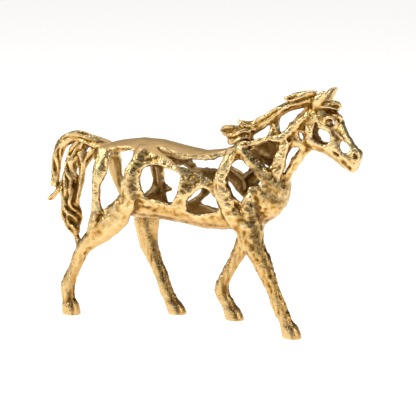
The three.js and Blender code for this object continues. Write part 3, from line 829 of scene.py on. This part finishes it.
def gold_leaf(colours):
    """Gold leaf laid by hand on cast metal, burnished and toned with brown."""
    # To the eye it is bright and warm on the crowns; brown in the furrows, partly real size and partly
    # painted shade;
    # darker on the inner walls, partly duller leaf and partly painted shade; smooth, matt and lighter on
    # top of the back, the lightness painted light from above; darker low down and on faces turned ahead or
    # down as painted shade; dark along listed lines in mottled spots, with painted shade in the hoof
    # grooves and a painted dark reflection on the legs; and finely wrinkled all over
    patch_width = 9 * MM
    wrinkle_width = 1.6 * MM
    wrinkle_depth = 0.7 * MM
    pit_width = 2.6 * MM
    pit_depth = 0.8 * MM
    spot_width = 3.5 * MM
    patch_share = 0.9
    tone_low = -0.4
    tone_high = 1.3
    leaf_stop = 0.42
    dull_and_shade_share = 0.8
    spot_low = 0.35
    spot_high = 0.65
    least_worn = 0.5
    patch_low = 0.3
    patch_high = 0.7
    roughness_low = 0.22
    roughness_high = 0.36
    matt_roughness = 0.22
    satin_share = 1.6
    pit_edge = 0.5
    bump_strength = 0.45

    made, tree, shader = new_material("gold_leaf")
    where = add_node(tree, "ShaderNodeTexCoord").outputs["Object"]
    relief, inside, dark_marks_and_shade, satin_and_top_light = [
        add_node(tree, "ShaderNodeAttribute", attribute_name=name).outputs["Fac"]
        for name in ("relief", "inside", "dark_marks_and_shade", "satin_and_top_light")]
    patches, wrinkles, spots = [
        add_node(tree, "ShaderNodeTexNoise", {"Vector": where, "Scale": 1 / width, "Detail": detail})
        for width, detail in ((patch_width, 4), (wrinkle_width, 3), (spot_width, 3))]
    pits = add_node(tree, "ShaderNodeTexVoronoi", {"Vector": where, "Scale": 1 / pit_width})

    mottled = add_node(
        tree, "ShaderNodeMath", {0: patches.outputs["Fac"], 1: patch_share}, operation="MULTIPLY")
    height = add_node(tree, "ShaderNodeMath", {0: relief, 1: mottled.outputs[0]}, operation="ADD")
    # Tone runs from brown in the furrows, partly real size and partly painted shade, through leaf to the
    # bright crowns
    tone = add_node(tree, "ShaderNodeMapRange", {
        "Value": height.outputs[0], "From Min": tone_low, "From Max": tone_high})
    shades = add_node(tree, "ShaderNodeValToRGB", {"Fac": tone.outputs[0]})
    stops = shades.color_ramp.elements
    stops[0].color = linear(colours.hollow_dirt_and_shade)
    stops[1].color = linear(colours.burnished)
    stops.new(leaf_stop).color = linear(colours.leaf)
    # Painted shade: the inner walls are darkened, partly as duller leaf
    dull_and_shade = add_node(tree, "ShaderNodeMath", {0: inside, 1: dull_and_shade_share}, operation="MULTIPLY")
    worn = add_node(tree, "ShaderNodeMapRange", {
        "Value": spots.outputs["Fac"], "From Min": spot_low, "From Max": spot_high, "To Min": least_worn})
    # Dark marks, mottled in spots: listed lines, painted shade in the hoof grooves and a painted dark
    # reflection on the legs
    marks_and_shade = add_node(tree, "ShaderNodeMath", {0: dark_marks_and_shade, 1: worn.outputs[0]}, operation="MULTIPLY")
    colour = shades.outputs["Color"]
    # Mixes in painted light on the top of the back, painted shade on the inner walls, and the dark marks
    for share, hex_colour in (
            (satin_and_top_light, colours.matt), (dull_and_shade.outputs[0], colours.inside), (marks_and_shade.outputs[0], colours.dark_marks_and_shade)):
        colour = add_node(
            tree, "ShaderNodeMix", {FACTOR: share, FIRST: colour, SECOND: linear(hex_colour)},
            data_type="RGBA").outputs[RESULT]

    gloss = add_node(tree, "ShaderNodeMapRange", {
        "Value": patches.outputs["Fac"], "From Min": patch_low, "From Max": patch_high,
        "To Min": roughness_low, "To Max": roughness_high})
    brushed = add_node(tree, "ShaderNodeMath", {0: satin_and_top_light, 1: satin_share}, operation="MULTIPLY")
    matt = add_node(tree, "ShaderNodeMath", {0: inside, 1: brushed.outputs[0]}, operation="MAXIMUM")
    dry = add_node(tree, "ShaderNodeMath", {0: matt.outputs[0], 1: matt_roughness}, operation="MULTIPLY")
    rough = add_node(tree, "ShaderNodeMath", {0: gloss.outputs[0], 1: dry.outputs[0]}, operation="ADD")

    dimple = add_node(tree, "ShaderNodeMapRange", {"Value": pits.outputs["Distance"], "From Max": pit_edge})
    bump = add_node(tree, "ShaderNodeBump", {
        "Height": dimple.outputs[0], "Strength": bump_strength, "Distance": pit_depth})
    finer = add_node(tree, "ShaderNodeBump", {
        "Height": wrinkles.outputs["Fac"], "Strength": bump_strength, "Distance": wrinkle_depth,
        "Normal": bump.outputs["Normal"]})
    tree.links.new(colour, shader.inputs["Base Color"])
    tree.links.new(rough.outputs[0], shader.inputs["Roughness"])
    tree.links.new(finer.outputs["Normal"], shader.inputs["Normal"])
    shader.inputs["Metallic"].default_value = 1.0
    return made


def studio_paper(colours):
    """Seamless paper, rolled from white pulp."""
    # To the eye it is white and matt, with the faintest unevenness of its fibres, and a glow keeps it white
    fibre_width = 40 * MM
    least_rough = 0.9
    glow = 0.86
    made, tree, shader = new_material("studio_paper")
    where = add_node(tree, "ShaderNodeTexCoord").outputs["Object"]
    fibre = add_node(tree, "ShaderNodeTexNoise", {"Vector": where, "Scale": 1 / fibre_width, "Detail": 2})
    sheen = add_node(tree, "ShaderNodeMapRange", {"Value": fibre.outputs["Fac"], "To Min": least_rough})
    tree.links.new(sheen.outputs[0], shader.inputs["Roughness"])
    shader.inputs["Base Color"].default_value = linear(colours.floor)
    shader.inputs["Emission Color"].default_value = linear(colours.floor)
    shader.inputs["Emission Strength"].default_value = glow
    return made


# Stage

def softbox(name, place, aim, width, height, watts):
    """A rectangular soft light at a place, aimed at a point, in metres."""
    bpy.ops.object.light_add(type="AREA", location=place)
    light = bpy.context.object
    light.name = name
    light.data.shape = "RECTANGLE"
    light.data.size = width
    light.data.size_y = height
    light.data.energy = watts
    light.rotation_euler = (Vector(aim) - Vector(place)).to_track_quat("-Z", "Y").to_euler()


class HORSE_OT_stage(bpy.types.Operator):
    """Lays the paper, hangs the soft lights and sets the camera at the photograph's angle"""

    bl_idname = "horse.stage"
    bl_label = "Stage"

    def execute(self, context):
        scene = context.scene
        studio = scene.studio_sizes
        floor_side = 30
        sky_strength = 0.14
        aim_ahead = 11 * MM
        aim_height = 149 * MM
        frame_pixels = 416
        sensor_width = 36
        low, high = [Vector(corner) for corner in cad_box]
        middle = (low + high) / 2

        bpy.ops.object.select_all(action="DESELECT")
        bpy.ops.mesh.primitive_plane_add(size=floor_side, location=(0, 0, 0))
        paper = context.object
        paper.name = "floor"
        paper.data.materials.append(studio_paper(scene.casting_colours))

        softbox("key", (-1.4, -1.2, 1.5), middle, width=1.0, height=1.0, watts=22)
        softbox("fill", (1.9, -0.6, 0.8), middle, width=0.8, height=1.0, watts=11)
        softbox("top", (0.0, 0.3, 2.2), middle, width=1.6, height=1.2, watts=13)

        world = bpy.data.worlds.new("studio")
        world.use_nodes = True
        sky = world.node_tree.nodes["Background"]
        sky.inputs["Color"].default_value = (1, 1, 1, 1)
        sky.inputs["Strength"].default_value = sky_strength
        scene.world = world
        scene.view_settings.view_transform = "Standard"

        aim = Vector((middle.x + aim_ahead, middle.y, aim_height))
        back = Vector((math.sin(studio.azimuth) * math.cos(studio.elevation),
                       -math.cos(studio.azimuth) * math.cos(studio.elevation),
                       math.sin(studio.elevation)))
        bpy.ops.object.camera_add(location=aim + back * studio.distance)
        camera = context.object
        camera.name = "camera"
        camera.rotation_euler = back.to_track_quat("Z", "Y").to_euler()
        camera.data.sensor_width = sensor_width
        camera.data.lens = sensor_width * studio.focal_pixels / frame_pixels
        scene.camera = camera
        return {"FINISHED"}


# Panel and registration

STEPS = (
    HORSE_OT_stage, HORSE_OT_form, HORSE_OT_hair, HORSE_OT_face, HORSE_OT_ribs, HORSE_OT_relief,
    HORSE_OT_surface)


class HORSE_PT_steps(bpy.types.Panel):
    """Lists the steps that make the horse, and its sizes"""

    bl_idname = "HORSE_PT_steps"
    bl_label = "Openwork horse"
    bl_space_type = "VIEW_3D"
    bl_region_type = "UI"
    bl_category = "Horse"

    def draw(self, context):
        scene = context.scene
        for step in STEPS:
            self.layout.operator(step.bl_idname)
        for group in (scene.casting_sizes, scene.casting_colours, scene.studio_sizes):
            box = self.layout.box()
            for name in group.__annotations__:
                box.prop(group, name)


CLASSES = (CastingSizes, CastingColours, StudioSizes, *STEPS, HORSE_PT_steps)


def register():
    """Registers the classes and hangs the sizes and colours on the scene."""
    for cls in CLASSES:
        bpy.utils.register_class(cls)
    bpy.types.Scene.casting_sizes = bpy.props.PointerProperty(type=CastingSizes)
    bpy.types.Scene.casting_colours = bpy.props.PointerProperty(type=CastingColours)
    bpy.types.Scene.studio_sizes = bpy.props.PointerProperty(type=StudioSizes)


def unregister():
    """Takes the sizes and colours off the scene and unregisters the classes."""
    del bpy.types.Scene.studio_sizes
    del bpy.types.Scene.casting_colours
    del bpy.types.Scene.casting_sizes
    for cls in reversed(CLASSES):
        bpy.utils.unregister_class(cls)


def main():
    """Runs the steps in order."""
    register()
    bpy.ops.horse.stage()
    bpy.ops.horse.form()
    bpy.ops.horse.hair()
    bpy.ops.horse.face()
    bpy.ops.horse.ribs()
    bpy.ops.horse.relief()
    bpy.ops.horse.surface()


if __name__ == "__main__":
    main()
